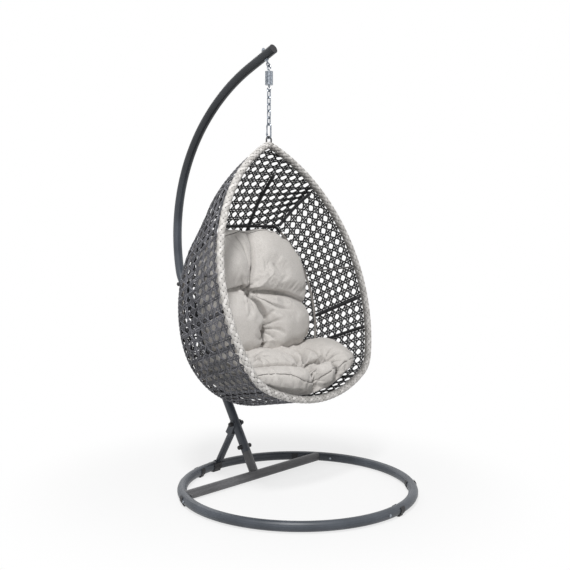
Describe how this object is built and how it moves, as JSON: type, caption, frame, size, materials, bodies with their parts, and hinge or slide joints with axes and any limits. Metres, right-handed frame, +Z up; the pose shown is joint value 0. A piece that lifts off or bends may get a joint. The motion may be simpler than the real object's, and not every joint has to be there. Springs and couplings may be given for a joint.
{
  "type": "hanging egg chair",
  "caption": "Woven egg-shaped basket seat with tufted cushions, hung by chain and spring from a bent tube stand on a floor ring.",
  "frame": {"origin": "on the floor under the middle of the whole object", "axes": "+Z up; +X across; the chair faces -Y; +Y is behind, where the post stands"},
  "size_m": [1.0496, 1.3524, 1.9558],
  "materials": {
    "stand_paint": "satin powder coat, dark grey",
    "zinc": "bright zinc",
    "black_plastic": "matt",
    "frame_paint": "satin powder coat, dark grey",
    "pale_cane": "plaited pale grey cane",
    "grey_cane": "open weave of grey cane",
    "cushion_cloth": "light warm grey cloth"
  },
  "bodies": {
    "stand": {"base_rear_arc": "stand_paint", "base_left_arc": "stand_paint", "base_right_arc": "stand_paint", "base_cross_tube": "stand_paint", "post_stub": "stand_paint", "lower_post": "stand_paint", "boom": "stand_paint", "boom_end_plug": "black_plastic", "rear_brace": "stand_paint", "post_bolts": "zinc", "post_bolt_nuts": "zinc", "post_bolt_caps": "black_plastic", "ring_joint_bolts": "zinc", "ring_cap_nuts": "zinc", "foot_clips": "black_plastic", "eye_bolt": "zinc", "eye_bolt_washers": "zinc", "dome_nut": "zinc"},
    "swivel_hook": {"swivel_hook": "zinc"},
    "spring_unit": {"spring_housing": "zinc", "housing_end_plate": "zinc", "compression_spring": "zinc"},
    "draw": {"draw_hook": "zinc", "spring_piston": "zinc", "draw_rod_nut": "zinc"},
    "chain": {"chain_link_1": "zinc", "chain_link_2": "zinc", "chain_link_3": "zinc", "chain_link_4": "zinc", "chain_link_5": "zinc", "carabiner_body": "zinc", "gate_pin": "zinc"},
    "gate": {"carabiner_gate": "zinc"},
    "basket": {"hanging_loop": "frame_paint", "rim_tube": "frame_paint", "rim_wrap": "pale_cane", "woven_seat": "grey_cane", "woven_side_left": "grey_cane", "woven_side_right": "grey_cane", "woven_back": "grey_cane", "rear_hoop": "frame_paint", "corner_rib_left": "frame_paint", "corner_rib_right": "frame_paint", "side_rib_left_1": "frame_paint", "side_rib_left_2": "frame_paint", "side_rib_right_1": "frame_paint", "side_rib_right_2": "frame_paint", "side_strut_left": "frame_paint", "side_strut_right": "frame_paint", "seat_bars": "frame_paint", "waist_rods": "frame_paint", "roof_ribs": "frame_paint", "seat_cushion": "cushion_cloth", "back_cushion": "cushion_cloth"}
  },
  "joints": [
    {"name": "fore_aft_swing", "type": "hinge", "parent": "stand", "child": "swivel_hook", "pos_m": [0, 0.03013, 1.86181], "axis": [1, 0, 0], "range_deg": [-14, 2]},
    {"name": "swivel_turn", "type": "hinge", "parent": "swivel_hook", "child": "spring_unit", "pos_m": [0, 0.03013, 1.842], "axis": [0, 0, 1], "range_deg": [-25, 25]},
    {"name": "spring_travel", "type": "slide", "parent": "spring_unit", "child": "draw", "axis": [0, 0, -1], "range_m": [0, 0.014], "stiffness_N_per_m": 30000, "springref_m": -0.009, "deforming": ["compression_spring"]},
    {"name": "side_swing", "type": "hinge", "parent": "draw", "child": "chain", "pos_m": [0, 0.03013, 1.75611], "axis": [0, 1, 0], "range_deg": [-6, 6]},
    {"name": "basket_nod", "type": "hinge", "parent": "chain", "child": "basket", "pos_m": [0, 0.03013, 1.55871], "axis": [1, 0, 0], "range_deg": [-8, 1]},
    {"name": "gate_opening", "type": "hinge", "parent": "chain", "child": "gate", "pos_m": [0, 0.04163, 1.57111], "axis": [1, 0, 0], "range_deg": [0, 25], "stiffness_Nm_per_rad": 0.02, "springref_deg": -22.92}
  ]
}
